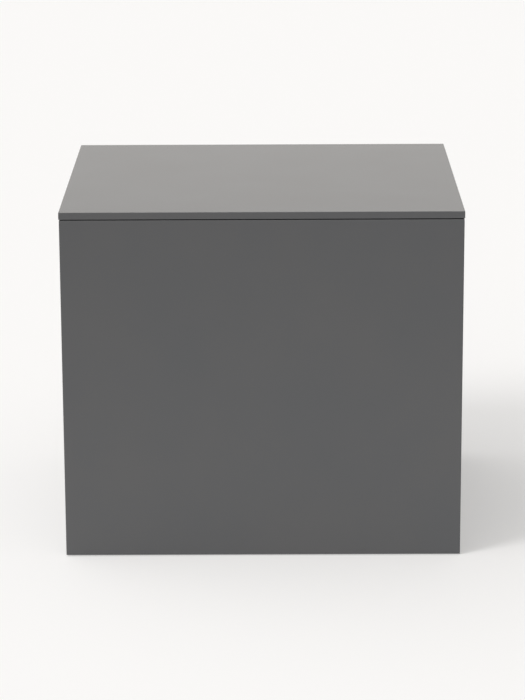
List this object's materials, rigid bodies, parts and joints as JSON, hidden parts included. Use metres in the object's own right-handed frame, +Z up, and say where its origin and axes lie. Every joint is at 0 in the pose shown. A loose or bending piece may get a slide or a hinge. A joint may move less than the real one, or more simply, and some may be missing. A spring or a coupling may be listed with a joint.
{
  "type": "wall-mounted bedside cabinet",
  "caption": "Wall-mounted box bedside cabinet with a deep push-to-open drawer behind a flat handleless front, under a thin flush top.",
  "frame": {"origin": "on the wall plane, midway between the two slots of the wall hanging rail", "axes": "+X to the right seen from the front, +Y into the wall, +Z up"},
  "size_m": [0.45, 0.4, 0.4],
  "materials": {
    "lacquered_board": "matt grey lacquer on fibreboard",
    "melamine_board": "matt grey melamine",
    "beech": "plain turned beech",
    "zinc_plated_steel": "zinc plated",
    "rail_aluminium": "extruded, mill finish",
    "bright_steel": "polished steel",
    "rubber": "soft matt rubber",
    "grey_plastic": "moulded, fine texture",
    "black_plastic": "moulded, fine texture"
  },
  "bodies": {
    "carcass": {"top_cover": "lacquered_board", "inner_top": "melamine_board", "left_side_panel": "lacquered_board", "right_side_panel": "lacquered_board", "bottom_panel": "melamine_board", "back_panel": "melamine_board", "hanging_batten": "melamine_board", "cabinet_hanging_rail": "rail_aluminium", "wall_hanging_rail": "rail_aluminium", "hanging_rail_screws": "zinc_plated_steel", "wall_bumpers": "rubber", "carcass_dowels": "beech", "cam_bolts": "zinc_plated_steel", "cam_locks": "zinc_plated_steel", "cam_cover_caps": "grey_plastic", "top_cover_screws": "zinc_plated_steel", "left_outer_runner": "zinc_plated_steel", "right_outer_runner": "zinc_plated_steel", "outer_runner_screws": "zinc_plated_steel", "left_latch_housing": "grey_plastic", "right_latch_housing": "grey_plastic", "left_latch_spring": "bright_steel", "right_latch_spring": "bright_steel"},
    "drawer": {"drawer_front": "lacquered_board", "drawer_inner_front": "melamine_board", "drawer_back": "melamine_board", "drawer_left_side": "melamine_board", "drawer_right_side": "melamine_board", "drawer_bottom": "melamine_board", "drawer_box_dowels": "beech", "front_fixing_screws": "zinc_plated_steel", "front_inserts": "black_plastic", "left_inner_runner": "zinc_plated_steel", "right_inner_runner": "zinc_plated_steel", "inner_runner_screws": "zinc_plated_steel", "release_lever_rivets": "bright_steel"},
    "left_middle": {"left_middle_runner": "zinc_plated_steel"},
    "left_outer_cage": {"left_outer_ball_cage": "bright_steel", "left_outer_balls": "bright_steel"},
    "left_inner_cage": {"left_inner_ball_cage": "bright_steel", "left_inner_balls": "bright_steel"},
    "left_plunger": {"left_latch_plunger": "grey_plastic", "left_latch_pad": "rubber"},
    "left_lever": {"left_release_lever": "black_plastic"},
    "right_middle": {"right_middle_runner": "zinc_plated_steel"},
    "right_outer_cage": {"right_outer_ball_cage": "bright_steel", "right_outer_balls": "bright_steel"},
    "right_inner_cage": {"right_inner_ball_cage": "bright_steel", "right_inner_balls": "bright_steel"},
    "right_plunger": {"right_latch_plunger": "grey_plastic", "right_latch_pad": "rubber"},
    "right_lever": {"right_release_lever": "black_plastic"}
  },
  "joints": [
    {"name": "drawer_slide", "type": "slide", "parent": "carcass", "child": "drawer", "axis": [0, -1, 0], "range_m": [0, 0.35]},
    {"name": "left_middle_slide", "type": "slide", "parent": "carcass", "child": "left_middle", "axis": [0, -1, 0], "range_m": [0, 0.175]},
    {"name": "left_outer_cage_slide", "type": "slide", "parent": "carcass", "child": "left_outer_cage", "axis": [0, -1, 0], "range_m": [0, 0.0875]},
    {"name": "left_inner_cage_slide", "type": "slide", "parent": "carcass", "child": "left_inner_cage", "axis": [0, -1, 0], "range_m": [0, 0.2625]},
    {"name": "left_latch_press", "type": "slide", "parent": "carcass", "child": "left_plunger", "axis": [0, 1, 0], "range_m": [0, 0.0025], "stiffness_N_per_m": 500, "deforming": ["left_latch_spring"]},
    {"name": "left_release_press", "type": "hinge", "parent": "drawer", "child": "left_lever", "pos_m": [-0.1987, -0.201, -0.18], "axis": [1, 0, 0], "range_deg": [-8, 8], "stiffness_Nm_per_rad": 0.05},
    {"name": "right_middle_slide", "type": "slide", "parent": "carcass", "child": "right_middle", "axis": [0, -1, 0], "range_m": [0, 0.175]},
    {"name": "right_outer_cage_slide", "type": "slide", "parent": "carcass", "child": "right_outer_cage", "axis": [0, -1, 0], "range_m": [0, 0.0875]},
    {"name": "right_inner_cage_slide", "type": "slide", "parent": "carcass", "child": "right_inner_cage", "axis": [0, -1, 0], "range_m": [0, 0.2625]},
    {"name": "right_latch_press", "type": "slide", "parent": "carcass", "child": "right_plunger", "axis": [0, 1, 0], "range_m": [0, 0.0025], "stiffness_N_per_m": 500, "deforming": ["right_latch_spring"]},
    {"name": "right_release_press", "type": "hinge", "parent": "drawer", "child": "right_lever", "pos_m": [0.1987, -0.201, -0.18], "axis": [1, 0, 0], "range_deg": [-8, 8], "stiffness_Nm_per_rad": 0.05}
  ],
  "couplings": [
    {"joint": "left_middle_slide", "follows": "drawer_slide", "ratio": 0.5},
    {"joint": "left_outer_cage_slide", "follows": "drawer_slide", "ratio": 0.25},
    {"joint": "left_inner_cage_slide", "follows": "drawer_slide", "ratio": 0.75},
    {"joint": "right_middle_slide", "follows": "drawer_slide", "ratio": 0.5},
    {"joint": "right_outer_cage_slide", "follows": "drawer_slide", "ratio": 0.25},
    {"joint": "right_inner_cage_slide", "follows": "drawer_slide", "ratio": 0.75}
  ]
}
